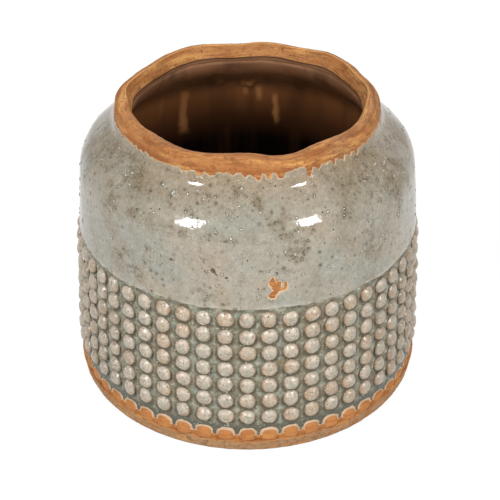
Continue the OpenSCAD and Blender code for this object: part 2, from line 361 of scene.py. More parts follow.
def wire(made, *inputs):
    """Fills a node's inputs, in order or, from a dict, by name: each with a value, a socket or another
    node."""
    sockets = [socket for socket in made.inputs if socket.enabled]
    named = {socket.name: socket for socket in reversed(sockets)}
    pairs = [*zip(sockets, (part for part in inputs if not isinstance(part, dict)))]
    pairs += [(named[key], value) for part in inputs if isinstance(part, dict) for key, value in part.items()]
    for socket, value in pairs:
        if isinstance(value, bpy.types.Node):
            value = next(output for output in value.outputs if output.enabled)
        if isinstance(value, bpy.types.NodeSocket):
            made.id_data.links.new(value, socket)
        else:
            socket.default_value = value


def new_material(name):
    """A new material, what adds a node to it, and its shader, which is joined to its output."""
    material = bpy.data.materials.new(name)
    material.use_nodes = True
    material.node_tree.nodes.clear()
    add = partial(node, material.node_tree)
    shader = add("BsdfPrincipled")
    add("OutputMaterial", {"Surface": shader})
    return material, add, shader


def cloud(add, place, width, low, high, detail=3.0, shift=(0, 0, 0), rough=0.55):
    """A mask of cloudy spots: width is the size of one spot in mm, and low and high are where it starts and
    is full."""
    moved = add("Mapping", {"Vector": place, "Location": shift})
    noise = add("TexNoise", moved, 1 / (2 * mm(width)), detail, rough)
    return add("MapRange", noise, low, high, interpolation_type="SMOOTHSTEP")


def layered(add, base, layers):
    """One colour over another: each layer is a mask, a colour and how strong it is where the mask is full."""
    for mask, shade, strength in layers:
        if mask is not None:
            share = add("Math MULTIPLY", mask, strength)
            shade = linear(shade) if isinstance(shade, str) else shade
            base = add("Mix", share, base, shade, data_type="RGBA")
    return base


def convert(piece, tree, values):
    """Runs a Geometry Nodes tree on a piece and leaves a plain mesh. Values are the modifier's inputs by
    name."""
    modifier = piece.modifiers.new(tree.name, "NODES")
    modifier.node_group = tree
    for item in tree.interface.items_tree:
        if item.item_type == "SOCKET" and item.in_out == "INPUT" and item.name in values:
            modifier[item.identifier] = values[item.name]
    piece.update_tag()
    graph = bpy.context.evaluated_depsgraph_get()
    mesh = bpy.data.meshes.new_from_object(
        piece.evaluated_get(graph), preserve_all_data_layers=True, depsgraph=graph)
    piece.modifiers.remove(modifier)
    old, piece.data = piece.data, mesh
    bpy.data.meshes.remove(old)
    mesh.name = piece.name
    mesh.shade_smooth()


def tree_with(name, **kinds):
    """A Geometry Nodes tree with geometry in and out and named inputs of each kind, what adds a node to it,
    and its inputs."""
    tree = bpy.data.node_groups.new(name, "GeometryNodeTree")
    tree.interface.new_socket("Geometry", in_out="OUTPUT", socket_type="NodeSocketGeometry")
    for kind, names in {"Geometry": ["Geometry"], **kinds}.items():
        for key in names:
            tree.interface.new_socket(key, in_out="INPUT", socket_type="NodeSocket" + kind)
    return tree, partial(node, tree), tree.nodes.new("NodeGroupInput").outputs


def settle(piece, finish, slot, *nodes):
    """Gives a piece its finish, hangs it from the root body and hides the CAD parts that it stands for. slot
    is not used.
    """
    piece.data.materials.clear()
    piece.data.materials.append(finish_named(finish))
    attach(piece, "root")
    if nodes:
        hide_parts(*nodes)


# ---------------------------------------------------------------- finishes

def bare_earthenware(name, c, marks=(), lines=None, even=None, grain=0.45):
    """Red earthenware, smoothed by hand and fired bare: dry and slightly rough, mottled from orange to tan,
    with fine dark grit, scorched smears and the streaks that wet fingers left running round the pot. marks
    names the attributes for its darker clay; its dusty foot, with a painted shadow along its bottom edge; a
    painted sheen along the lip's inner edge; cream or brown glaze, the brown with a painted shadow line along
    its top; soiling; and a painted highlight along the crease. lines names the one that the streaks follow.
    even is how far the mottling is wiped out, and grain its relief in mm."""
    material, add, shader = new_material(name)
    place = add("TexCoord").outputs["Object"]
    mark = {key: add("Attribute", attribute_name=key).outputs["Fac"] for key in marks}
    along = (add("Attribute", attribute_name=lines).outputs["Vector"] if lines else
             add("Mapping", {"Vector": place, "Scale": (0.15, 0.15, 1)}))
    layers = [
        (mark.get("deep"), c.clay_deep, 0.6),
        (cloud(add, place, 8, 0.44, 0.66, 4), c.clay_deep, 0.45),
        (cloud(add, place, 13, 0.5, 0.7, 3, (3, 1, 2)), c.clay_pale, 0.3),
        (cloud(add, along, 1.9, 0.5, 0.62, 4, (1, 5, 2), 0.6), "#DBA25C", 0.6),
        (cloud(add, along, 1.3, 0.5, 0.6, 4, (4, 5, 9), 0.65), "#94531F", 0.6),
        (cloud(add, along, 0.9, 0.52, 0.66, 4, (9, 2, 4), 0.7), "#6E401D", 0.6),
        (cloud(add, place, 5, 0.56, 0.7, 5, (6, 1, 8), 0.75), "#7C5532", 0.6),
        (cloud(add, place, 1.3, 0.56, 0.7, 3), "#7A4522", 0.65),
        (cloud(add, place, 0.6, 0.64, 0.74, 1, (2, 2, 7)), "#4E2F17", 0.5),
        (even, "#B8743B", 1.0),
        # The pale edge is a painted sheen along the lip's inner top edge
        (mark.get("edge"), "#BCA08A", 0.5)]
    if "soiled" in mark:
        blotch = cloud(add, along, 2, 0.5, 0.62, 4, (7, 7, 1), 0.7)
        layers.append((add("Math MULTIPLY", blotch, mark["soiled"]), "#70482A", 0.65))
    # Painted highlight: a light orange line along the crease on the lip's top
    layers.append((mark.get("crease"), "#E0AA68", 0.6))
    if "rim" in mark:
        layers.append((add("MapRange", mark["rim"], 0.86, 0.93), "#D5C2A9", 0.75))
    if "dust_and_sole_shade" in mark:
        patchy, speck = (add("Math MULTIPLY", cloud(add, place, *spots, 0.6), mark["dust_and_sole_shade"]) for spots in (
            (4, 0.3, 0.55, 4, (2, 9, 1)), (1.1, 0.5, 0.62, 3, (5, 5, 1))))
        # Painted shadow: the clay darkens along the foot's bottom edge, on the floor
        sole_shadow = add("MapRange", mark["dust_and_sole_shade"], 1.2, 2.0)
        layers += [(patchy, c.clay_pale, 0.75), (speck, "#74502F", 0.65), (sole_shadow, "#5E4029", 0.75)]
    # Brown glaze stains the lip's inner face below the sill; the dark line along its top is a painted shadow
    # under the lip's inner edge
    if "stain" in mark:
        glaze = add("MapRange", mark["stain"], 0.0, 0.25)
        line = add("Math MULTIPLY", add("MapRange", mark["stain"], 1.1, 0.6), glaze)
        layers += [(glaze, c.brown, 0.95), (line, "#241005", 0.9)]
    grit = add("TexNoise", place, 1 / mm(1.4), 4.0, 0.7)
    wipe = add("TexNoise", along, 1 / mm(2.2), 4.0, 0.6)
    height = add("Math MULTIPLY_ADD", grit, 0.5, wipe)
    wire(shader, {"Base Color": layered(add, c.clay, layers), "Roughness": 0.7, "IOR": 1.5,
                  "Specular IOR Level": 0.35,
                  "Normal": add("Bump", {"Height": height, "Strength": 0.6, "Distance": mm(grain)})})
    return material


def stoneware_glaze(name, c):
    """Grey-green feldspar glaze, dipped and fired glossy over red clay: even and milky where thick, warmer
    where the clay shows through, darker towards the pot's sides as painted shade with patches of wear, with
    pinhead blisters whose pale tops are painted highlights in dark rings of painted shade, smudges of olive
    where the dip was handled, iron spots, black pinholes, a few running cracks and a fine web of hairlines
    near the neck."""
    material, add, shader = new_material(name)
    place = add("TexCoord").outputs["Object"]
    far, thin, side_shade_and_wear, hem, iron, smoke = (add("Attribute", attribute_name=key).outputs["Fac"]
                                         for key in ("far", "thin", "side_shade_and_wear", "hem", "iron", "smoke"))
    faint = add("Math MULTIPLY_ADD", thin, -0.6, 1.0)
    rim = add("Math MULTIPLY", add("MapRange", far, 0.62, 0.3), faint)
    iron = add("Math ADD", cloud(add, place, 0.8, 0.3, 0.7, 3, (4, 4, 1)), iron)
    iron = add("MapRange", iron, 1.3, 1.9, interpolation_type="SMOOTHSTEP")

    # Blisters: one in a cell of 3.4 mm, each with a size of its own; its pale top is a painted highlight, and
    # the dark ring and wider haze round it are painted shade
    cells = add("TexVoronoi", {"Vector": place, "Scale": 1 / mm(3.4)})
    own = add("SeparateColor", cells.outputs["Color"])
    wide = add("MapRange", own, 0.55, 1.0, 0.001, 0.3)
    near = add("Math DIVIDE", cells.outputs["Distance"], wide)
    dome, ring, tip_highlight, haze = (add("MapRange", near, start, full, interpolation_type="SMOOTHSTEP")
                             for start, full in ((1.0, 0.2), (1.4, 0.85), (0.5, 0.25), (2.8, 1.0)))
    often = cloud(add, place, 16, 0.4, 0.6, 3, (2, 8, 5))
    often = add("Math MULTIPLY_ADD", often, 0.7, 0.3)
    halo, glint, blister_shade = (add("Math MULTIPLY", mask, often) for mask in (ring, tip_highlight, haze))

    # Pinholes, hairlines and cracks
    holes = add("TexVoronoi", {"Vector": place, "Scale": 1 / mm(6.5)})
    hole = add("Math LESS_THAN", holes.outputs["Distance"], 0.075)
    web = add("TexVoronoi", {"Vector": place, "Scale": 1 / mm(1.5)}, feature="DISTANCE_TO_EDGE")
    crazed = add("Math MULTIPLY", add("MapRange", web, 0.0, 0.12, 1.0, 0.0), thin)
    tall = add("Mapping", {"Vector": place, "Scale": (1, 1, 0.3), "Location": (0.4, 0.1, 0.2)})
    vein = add("Math SUBTRACT", add("TexNoise", tall, 1 / mm(26), 5.0, 0.6), 0.5)
    vein = add("MapRange", add("Math ABSOLUTE", vein), 0.006, 0.002)
    crack = add("Math MULTIPLY", vein, cloud(add, place, 9, 0.54, 0.6, 2, (8, 8, 1)))

    # Smudges, and the freckles in them
    handled = add("Math MULTIPLY_ADD", side_shade_and_wear, 0.4, 0.15)
    handled = add("Math ADD", smoke, handled, use_clamp=True)
    smudge = add("Math MULTIPLY", cloud(add, place, 4, 0.42, 0.62, 6, (7, 3, 1), 0.7), handled)
    freckles = add("Math MULTIPLY", cloud(add, place, 0.8, 0.5, 0.6, 4, (1, 2, 5), 0.65), smudge)

    tone = layered(add, c.grey, [
        (cloud(add, place, 24, 0.42, 0.62, 3), c.grey_cool, 0.75),
        (cloud(add, place, 13, 0.5, 0.68, 4, (5, 2, 9)), c.grey_warm, 0.8),
        # Painted shade towards the pot's left and right sides, with patches of wear
        (side_shade_and_wear, "#7F6B4A", 0.62),
        (thin, "#9D815B", 0.48),
        (cloud(add, place, 3, 0.46, 0.66, 4, (9, 2, 3), 0.65), "#85806D", 0.5),
        (cloud(add, place, 1.2, 0.5, 0.68, 3, (3, 7, 3)), "#B7AD9C", 0.45),
        (cloud(add, place, 0.7, 0.52, 0.66, 2, (6, 4, 1)), "#7B7460", 0.4),
        (hem, "#C0B8A7", 0.6),
        (smudge, "#7A6B50", 0.75),
        # Painted shade: a wider, darker haze round each blister
        (blister_shade, "#6A6049", 0.5),
        (freckles, "#4A3D25", 0.95),
        (crazed, "#7D6446", 0.55),
        (crack, "#6A5C44", 0.8),
        (iron, "#45260D", 1.0),
        # Painted shade in a ring round each blister, and a painted highlight on its top
        (halo, "#4E4731", 0.85),
        (glint, "#DCD6C8", 0.8),
        (hole, "#1B1712", 0.95),
        (rim, c.cream, 0.8)])
    swell, fine = (add("TexNoise", place, 1 / mm(width), 2.0) for width in (9, 2.4))
    height = add("Math MULTIPLY_ADD", fine, 0.42, swell)
    height = add("Math MULTIPLY_ADD", dome, 1.1, height)
    height = add("Math MULTIPLY_ADD", hole, -1.0, height)
    wire(shader, {"Base Color": tone, "Roughness": add("MapRange", far, 0.5, 1.6, 0.5, 0.1), "IOR": 1.68,
                  "Normal": add("Bump", {"Height": height, "Strength": 1.0, "Distance": mm(0.16)})})
    return material


def hobnail_glaze(name, c):
    """The same glaze run thin over the pressed hobnails: pinkish cream along each one's upper edge, where the
    glaze ran off, lightened further as a painted highlight; greyer on the crown where it stayed; darker on
    its lower part, where glaze sank and where painted shade is laid; orange where the clay's left edge shows;
    tan in patches where it wore through; darker towards the pot's sides, as painted shade; and olive round
    the foot, pooled glaze with painted shade that is heaviest under each hobnail."""
    material, add, shader = new_material(name)
    place = add("TexCoord").outputs["Object"]
    crown, tint = (add("Attribute", attribute_name=key).outputs["Fac"] for key in ("crown", "tint"))
    spot = add("SeparateXYZ", add("Attribute", attribute_name="spot").outputs["Vector"])
    wobble = add("TexNoise", place, 1 / mm(3), 3.0)
    right, up = (add("Math MULTIPLY_ADD", wobble, 0.9, spot.outputs[axis]) for axis in "XY")
    # Painted light and shade: each hobnail's upper edge is lightened and its lower part darkened as if lit
    # from above
    left, drained_and_lit, settled_and_shaded, foot, flat = (
        add("MapRange", value, start, full, interpolation_type="SMOOTHSTEP") for value, start, full in (
            (right, 0.1, -0.35), (up, 0.65, 1.15), (up, 0.3, -0.35), (crown, 0.5, 0.05), (crown, 0.72, 0.97)))
    side = add("Math ADD", add("SeparateXYZ", place), mm(15))
    side = add("MapRange", add("Math ABSOLUTE", side), mm(45), mm(115))
    # The olive round each hobnail's foot is pooled glaze with painted shade, heaviest under the hobnail and
    # faint over it
    foot, warm, cool, bare = (add("Math MULTIPLY", mask, share) for mask, share in (
        (foot, add("MapRange", up, 1.2, -0.2, 0.1)),
        (left, cloud(add, place, 4, 0.4, 0.6, 3)),
        (flat, add("MapRange", tint, {"To Min": 0.25})),
        (cloud(add, place, 2.4, 0.38, 0.6, 5, (6, 6, 3), 0.7), add("MapRange", tint, 0.45, 0.15))))
    tone = layered(add, c.hobnail, [
        (cloud(add, place, 1.4, 0.44, 0.6, 5, rough=0.7), "#9F947F", 0.75),
        (cloud(add, place, 6, 0.46, 0.66, 3, (3, 6, 2)), "#CCB29C", 0.7),
        (drained_and_lit, "#D6C8B7", 0.5),
        (cool, "#9C9B8A", 0.7),
        (settled_and_shaded, "#8D7C62", 0.7),
        (warm, "#B5835A", 0.5),
        (bare, "#A5835A", 0.6),
        (cloud(add, place, 0.7, 0.54, 0.64, 3, (3, 1, 2)), "#7B7058", 0.65),
        (cloud(add, place, 0.7, 0.58, 0.68, 3, (7, 3, 2)), "#DDD2C4", 0.6),
        (cloud(add, place, 0.9, 0.73, 0.77, 1, (9, 1, 2)), "#2A241B", 0.9),
        # Painted shade: darker towards the pot's left and right sides
        (side, "#857862", 0.4),
        # Pooled glaze and painted shade round the foot of each hobnail
        (foot, "#5F553D", 0.85)])
    lumps = add("TexNoise", place, 1 / mm(1.6), 3.0, 0.6)
    dull = add("MapRange", add("TexNoise", place, 1 / mm(9), 2.0), 0.4, 0.6, 0.05, 0.16)
    wire(shader, {"Base Color": tone, "Roughness": dull, "IOR": 1.6,
                  "Normal": add("Bump", {"Height": lumps, "Strength": 0.7, "Distance": mm(0.45)})})
    return material


def blister_glaze(name, c):
    """The grey glaze where gas raised it: a pale, glossy top painted as a highlight, in a dark ring painted
    as shade round its foot.
    """
    material, add, shader = new_material(name)
    crown = add("Attribute", attribute_name="crown").outputs["Fac"]
    ring, tip_highlight = (add("MapRange", crown, start, full, interpolation_type="SMOOTHSTEP")
                 for start, full in ((0.05, 0.5), (0.86, 0.97)))
    wire(shader, {"Base Color": layered(add, c.grey, [(ring, "#6A6450", 0.75), (tip_highlight, "#E6E0D2", 0.9)]),
                  "Roughness": 0.1, "IOR": 1.68})
    return material


def pooled_glaze(name, c):
    """Glaze that ran off the hobnails and gathered between them: grey-green with raised crumbs, brown
    stains and teal spots, dark olive in the gutters round each hobnail and under the step, where pooled glaze
    has painted shade laid over it, heaviest below each hobnail and under the step, deep teal along its lower
    edge and cream where that edge thins out on the clay."""
    material, add, shader = new_material(name)
    place = add("TexCoord").outputs["Object"]
    far, gutter_pool_and_shade, low, crumb = (add("Attribute", attribute_name=key).outputs["Fac"]
                               for key in ("far", "gutter_pool_and_shade", "low", "crumb"))
    tone = layered(add, c.ground, [
        (cloud(add, place, 5, 0.42, 0.6, 4), "#8B9182", 0.7),
        (cloud(add, place, 9, 0.42, 0.6, 3, (8, 1, 3)), "#7F6B4B", 0.7),
        (cloud(add, place, 2.4, 0.44, 0.6, 4, (4, 1, 7), 0.65), "#5E5439", 0.75),
        (crumb, "#B2AE9B", 0.7),
        (cloud(add, place, 2.6, 0.56, 0.66, 3, (2, 6, 4)), "#84968B", 0.65),
        # Pooled glaze and painted shade round and below each hobnail and under the step
        (gutter_pool_and_shade, "#4A4430", 0.8),
        (low, "#414A41", 0.8),
        (cloud(add, place, 0.9, 0.54, 0.66, 3, (8, 4, 3)), "#55492F", 0.6),
        (cloud(add, place, 0.8, 0.6, 0.7, 3, (1, 4, 6)), "#C2BCA8", 0.7),
        (add("MapRange", far, 0.75, 0.45), c.cream, 1.0)])
    lumps = add("TexNoise", place, 1 / mm(2), 4.0, 0.6)
    wire(shader, {"Base Color": tone, "Roughness": 0.22, "IOR": 1.52,
                  "Normal": add("Bump", {"Height": lumps, "Strength": 0.8, "Distance": mm(1.0)})})
    return material


def brown_glaze(name, c):
    """Brown iron glaze poured inside and drained: light brown where it is thin near the mouth, then painted
    shade by height, a darker band under the neck, a little lighter on the wall below and nearly black deep
    inside, with runs down the wall and a soft gloss that starts under the matt, thin edge."""
    material, add, shader = new_material(name)
    place = add("TexCoord").outputs["Object"]
    runs = add("Mapping", {"Vector": place, "Scale": (1, 1, 0.12)})
    # Painted shade by height: a darker band under the neck, a little lighter below, and nearly black deep
    # inside
    depth = add("MapRange", add("SeparateXYZ", place).outputs["Z"], mm(178), mm(70))
    tone_and_shade_ramp = add("ValToRGB", depth)
    stops = tone_and_shade_ramp.color_ramp.elements
    stops[0].color, stops[1].color = linear("#94694A"), linear("#060302")
    for at, shade in ((0.1, "#84593A"), (0.22, "#6B4529"), (0.34, "#724829"), (0.5, "#472916"),
                      (0.67, "#0C0502")):
        stops.new(at).color = linear(shade)
    drip = add("Attribute", attribute_name="drip").outputs["Fac"]
    tone = layered(add, tone_and_shade_ramp, [
        (cloud(add, runs, 7, 0.45, 0.7, 3), "#3A2413", 0.5),
        (cloud(add, runs, 4, 0.58, 0.72, 3, (4, 2, 1)), "#6B4424", 0.2),
        (drip, "#A87245", 0.75)])
    wave = add("TexNoise", runs, 1 / mm(11), 2.0)
    wire(shader, {"Base Color": tone, "Roughness": add("MapRange", depth, 0.03, 0.1, 0.85, 0.3), "IOR": 1.5,
                  "Normal": add("Bump", {"Height": wave, "Strength": 0.6, "Distance": mm(1.2)})})
    return material


FINISHES = {
    "earthenware_lip": partial(
        bare_earthenware, marks=("deep", "edge", "soiled", "crease", "stain"), lines="wipe"),
    "earthenware_wall": partial(bare_earthenware, marks=("deep",)),
    "earthenware_hobnail": partial(bare_earthenware, marks=("rim",), even=0.6),
    "earthenware_foot": partial(bare_earthenware, marks=("dust_and_sole_shade",), grain=0.9),
    "stoneware_glaze_grey": stoneware_glaze,
    "stoneware_glaze_hobnail": hobnail_glaze,
    "stoneware_glaze_blister": blister_glaze,
    "stoneware_glaze_pooled": pooled_glaze,
    "iron_glaze_brown": brown_glaze,
}


def finish_named(name):
    """The finish of that name, made when it is first asked for."""
    return bpy.data.materials.get(name) or FINISHES[name](name, bpy.context.scene.pot_colours)


# ---------------------------------------------------------------- pieces

def glaze_edge(s):
    """The whole ragged edge, as a function that gives its height at an angle: the front as listed, the rest
    in like teeth, shallower on the left."""
    rng = np.random.default_rng(11)
    angle, height = [p[0] for p in FRONT_EDGE], [mm(p[1]) for p in FRONT_EDGE]
    at, high = FRONT_EDGE[-1][0], True
    while at < 360 + FRONT_EDGE[0][0] - 4:
        depth = mm(rng.choice([0.5, 1.1, 2.2], p=[0.4, 0.4, 0.2]) * rng.uniform(0.6, 1.3))
        depth *= 0.4 if at > 275 else 1
        level = s.glaze_edge_z + mm(0.9) * math.sin(at / 9) + (depth if high else -depth)
        for width in (rng.uniform(0.4, 1.2), rng.uniform(0.2, 2.2)):
            at += width
            angle.append(at)
            height.append(level + mm(rng.uniform(-0.35, 0.35)))
        high = not high

    def edge(at):
        level = np.interp(at, np.radians(angle), height, period=2 * math.pi)
        return level + mm(0.3) * ripple(s.neck_r * at, 0 * at, 0 * at, mm(2.4), 12)
    return edge


def finger_marks(x, y, z):
    """How far the potter's fingers moved the clay out around the mouth, at each point."""
    push = mm(0.13) * ripple(x, y, 1.6 * z, mm(20), 3) + mm(0.04) * ripple(x, y, 2 * z, mm(5), 4)
    return push * ease(z, mm(171), mm(177))


def clay_inset(s, z):
    """How deep the clay lies under the glazed surface: a glaze thickness, and less where the glaze runs
    out."""
    return s.glaze_t - mm(0.35) * ease(z, mm(164), mm(173))


def clay_surface(s, angle, count, top):
    """Radius and height of the clay from step to lip on a grid, with its normals and line."""
    line, normal = resample(outer_line(s, 0, top), count)
    radius, height = spun(angle, line - clay_inset(s, line[:, 1])[:, None] * normal, line[:, 1])
    push = finger_marks(*around(angle, radius), height)
    return *pushed(radius, height, normal, push), normal, line


def coat_depth(full, far, soft):
    """A coat's thickness at a distance inside its edge: it rounds off over a soft length, and ends in the
    clay."""
    outside = np.maximum(0.6 * far, -mm(0.35))
    return np.where(far > 0, full * (1 - np.exp(-np.maximum(far, 0) / soft)), outside)


class PLANTER_OT_lip(bpy.types.Operator):
    """Makes the bare clay coil around the mouth, pinched in and out by hand"""
    bl_idname = "planter.lip"
    bl_label = "Lip"

    def execute(self, context):
        s, angle, sill = context.scene.pot_sizes, turn(720), mm(178.5)
        right, front = np.sin(angle), np.cos(angle)
        inner_r = s.neck_r - s.lip_w
        liner_r = s.neck_r - s.glaze_t - s.wall_t - s.liner_t
        outer_r = s.neck_r - s.glaze_t + mm(0.35)
        round_o, round_i = s.lip_outer_round, s.lip_inner_round

        # The section: up the outer face, over the top, and down the inner face to a root in the wall
        skirt = outer_line(s, 0, mm(180))
        skirt = skirt[skirt[:, 1] > mm(166)]
        skirt[:, 0] -= clay_inset(s, skirt[:, 1])
        line = np.concatenate([
            skirt,
            arc((outer_r - round_o, LIP_TOP - round_o), round_o, 0, math.pi / 2, 16)[1:],
            arc((inner_r + round_i, LIP_TOP - round_i), round_i, math.pi / 2, math.pi, 10),
            [[inner_r, sill - mm(0.1)], [liner_r + mm(0.15), LIP_Z], [liner_r + mm(0.7), LIP_Z - mm(0.7)],
             [inner_r + mm(3), LIP_Z - mm(4)], [skirt[0, 0] - mm(3), skirt[0, 1]], skirt[0]]])
        points, normal = (part[:-1] for part in resample(line, 72))
        radius, height = spun(angle, points)
        radius, height = pushed(radius, height, normal, finger_marks(*around(angle, radius), height))

        # Wiped to a slope on its inner side, at the back and the sides, which leaves a crease along the top
        slope_w, slope_h = mm(4.6) * ease(-front, -0.5, 0.3)[None, :], LIP_TOP - sill
        slope = np.hypot(slope_w, slope_h)
        within_lip = radius - pinched(angle[None, :], height) - inner_r
        over = (slope_w * (height - sill) - slope_h * within_lip) / slope
        cut = (over + np.sqrt(over ** 2 + mm(0.4) ** 2)) / 2 * ease(slope_w, 0, mm(1))
        cut = cut * (points[:, 1:2] > sill - mm(0.2))
        radius, height = radius + cut * slope_h / slope, height - cut * slope_w / slope
        # This value lays a painted highlight along the crease
        crease = np.exp(-(over / mm(0.45)) ** 2) * ease(slope_w, mm(1), mm(3)) * (height > mm(183))
        height = np.minimum(height - mm(0.3) * ease(height, mm(180), mm(184)), LIP_TOP)

        out, up = normal[:, 0:1], normal[:, 1:2]
        x, y = around(angle, radius)
        ragged = mm(0.15) * ripple(x, -y, 0 * radius, mm(22), 13)
        left = ease(-right, 0.5, 0.85) * ease(front, -0.2, 0.2)
        fields = {
            "wipe": np.stack([*around(angle, 0.15 * radius), length_along(points)[:, None] + 0 * radius], 2),
            "deep": ((1 - ease(height, mm(177), mm(183) + mm(2) * left)) * (out > 0) * (1 + 0.6 * left)
                     + 0.3 + 0.4 * ease(-right, 0.4, 0.9) + 0.2 * ease(right, 0.4, 0.9)
                     + 0.35 * ease(front, 0.5, 0.9)),
            # Painted sheen: a pale line along the lip's inner top edge, at the front
            "edge": ease(0.78 * up - 0.62 * out, 0.95, 0.99) * ease(front, 0.3, 0.8),
            "stain": np.where(out < -0.2, np.clip((sill + ragged - height) / mm(1), -5, 5), -5),
            "soiled": (ease(right, 0.3, 0.8)
                       + ease(-right, 0.5, 0.9) * (1 - ease(height, mm(179), mm(184)))),
            "crease": crease}
        piece = ring_mesh("lip_coil_clay", angle, [(radius, height)], fields)
        settle(piece, "earthenware_lip", "bare_clay", "lip_coil")
        return {"FINISHED"}


class PLANTER_OT_shoulder(bpy.types.Operator):
    """Makes the clay shoulder, whose neck follows the pinched lip, and its ragged coat of grey glaze"""
    bl_idname = "planter.shoulder"
    bl_label = "Shoulder"

    def execute(self, context):
        s = context.scene.pot_sizes
        self.clay(s)
        self.coat(s)
        return {"FINISHED"}

    def clay(self, s):
        angle = turn(360)
        radius, height, _, _ = clay_surface(s, angle, 60, LIP_Z)
        inside = resample(inner_line(s), 40)[0][::-1]
        sides = [(radius - mm(0.1), np.maximum(height, STEP_Z + mm(1.5))), spun(angle, inside)]
        side = tuple(np.concatenate(parts) for parts in zip(*sides))
        piece = ring_mesh("shoulder_clay", angle, [side], {"deep": 1.4 + 0 * side[0]})
        settle(piece, "earthenware_wall", "bare_clay", "shoulder")

    def coat(self, s):
        angle, count = turn(960), 1200
        radius, height, normal, line = clay_surface(s, angle, count, mm(182))

        # 80 of the rows, closest where the edges need it: the spacing in mm at lengths along the line in mm
        along = length_along(line)
        total = along[-1] * 1000
        spacing = np.interp(along[1:] * 1000, [0, 5, 6, 24, 26, total - 17, total - 13, 999],
                            [0.7, 0.8, 1.0, 1.0, 2.2, 2.2, 0.55, 0.55])
        weight = np.concatenate([[0], np.cumsum(np.diff(along) * (1 / mm(spacing)))])
        pick = np.interp(np.linspace(0, weight[-1], 80), weight, np.arange(count)).round().astype(int)
        radius, height, normal, along = radius[pick], height[pick], normal[pick], along[pick, None]
        x, y = around(angle, radius)

        far = self.inside_edge(s, angle, radius, height)
        iron, smoke = 0 * far, 0 * far
        for at, z, half_w, half_h, slant in IRON_SPOTS:
            aside = beside(angle, at, radius)
            reach = np.hypot(aside / mm(half_w), (height - mm(z) - slant * aside) / mm(half_h))
            iron = np.maximum(iron, np.clip(2 - reach, 0, 2))
        for at, z, half_w, half_h in SMUDGES:
            reach = np.hypot(beside(angle, at, radius) / mm(half_w), (height - mm(z)) / mm(half_h))
            smoke = np.maximum(smoke, ease(reach, 1.7, 0.4))

        # The outer face, rounded in at the step, with a slight wave and an uneven hem
        thick = coat_depth(clay_inset(s, line[pick, 1:2]), far, mm(0.45))
        wave = mm(0.1) * ripple(x, y, height, mm(30), 5) + mm(0.012) * ripple(x, y, height, mm(6), 6)
        thick = thick + wave * ease(far, 0, mm(2)) * ease(along, 0, mm(3))
        hem = (mm(0.38) * ripple(x[:1], y[:1], 0 * x[:1], mm(24), 8)
               + mm(0.25) * ripple(x[:1], y[:1], 0 * x[:1], mm(6), 9) - mm(0.3))
        round_r = mm(1.6)
        low = np.clip(along / round_r, 0, 1)
        outer_r, outer_z = pushed(radius, height, normal, thick)
        outer_r = outer_r - round_r * (1 - np.sqrt(1 - (1 - low) ** 2))
        outer_z = outer_z + hem * (1 - ease(along, 0, mm(9)))
        back = np.linspace(len(pick) - 1, 0, 14).round().astype(int)
        inner_r, inner_z = radius[back] - mm(0.8), height[back]
        inner_z[-1] = outer_z[0]

        front = ease(np.cos(angle), 0.55, 0.97)[None, :]
        side = ease(np.abs(np.sin(angle)), 0.35, 0.85)[None, :]
        patch = ripple(x, y, height, mm(26), 71)
        # Painted shade: the glaze darkens towards the pot's left and right sides, most towards the neck; the
        # random patches added below are wear
        side_shade_and_wear = side * (0.8 + 0.1 * np.sin(angle)) * (0.2 + 0.8 * ease(height, mm(140), mm(172)))
        fields = {
            "far": np.clip(far / mm(1), -2, 9),
            "iron": iron,
            "smoke": smoke,
            "thin": ease(far, mm(18), mm(1)) * ease(height, mm(156), mm(170)) * (0.55 + 0.45 * front),
            "whole": ease(far, mm(1.2), mm(2.5)) * ease(along, mm(2), mm(4)) * (0.65 + 1.5 * smoke),
            "side_shade_and_wear": np.clip(side_shade_and_wear * (0.8 + 0.4 * patch) + 0.25 * np.maximum(patch, 0), 0, 1),
            "hem": ease(along, mm(4), mm(1)) * np.clip(0.7 + 0.4 * ripple(x, y, height, mm(9), 72), 0, 1)}
        piece = ring_mesh("shoulder_glaze_coat", angle, [(outer_r, outer_z), (inner_r, inner_z)], fields)
        settle(piece, "stoneware_glaze_grey", "grey_glaze", "shoulder_glaze")

    def inside_edge(self, s, angle, radius, height):
        """How far each point lies inside the coat's ragged edge and outside its chip, up to 9 mm."""
        edge, most = glaze_edge(s), mm(9)
        edge_at = edge(angle)
        fine = np.linspace(-math.pi, math.pi, 50000)
        tree = KDTree(len(fine))
        for i, (at, z) in enumerate(zip(fine, edge(fine))):
            tree.insert((s.neck_r * at, z, 0), i)
        tree.balance()
        far = 0 * radius + most
        for i, j in zip(*np.nonzero(np.abs(height - edge_at) < most)):
            far[i, j] = tree.find((s.neck_r * angle[j], height[i, j], 0))[2]
        far = np.where(height < edge_at, far, -far)

        across, rise = beside(angle, CHIP_ANGLE, radius), height - (STEP_Z + mm(CHIP_RISE))
        rough = mm(0.25) * ripple(across, rise, 0 * rise, mm(2.2), 21)
        for bite_x, bite_y, bite_r in CHIP_BITES:
            bite = np.hypot(across - mm(bite_x), rise - mm(bite_y)) - mm(bite_r)
            far = np.minimum(far, np.where(bite < mm(3), bite + rough, bite))
        return far


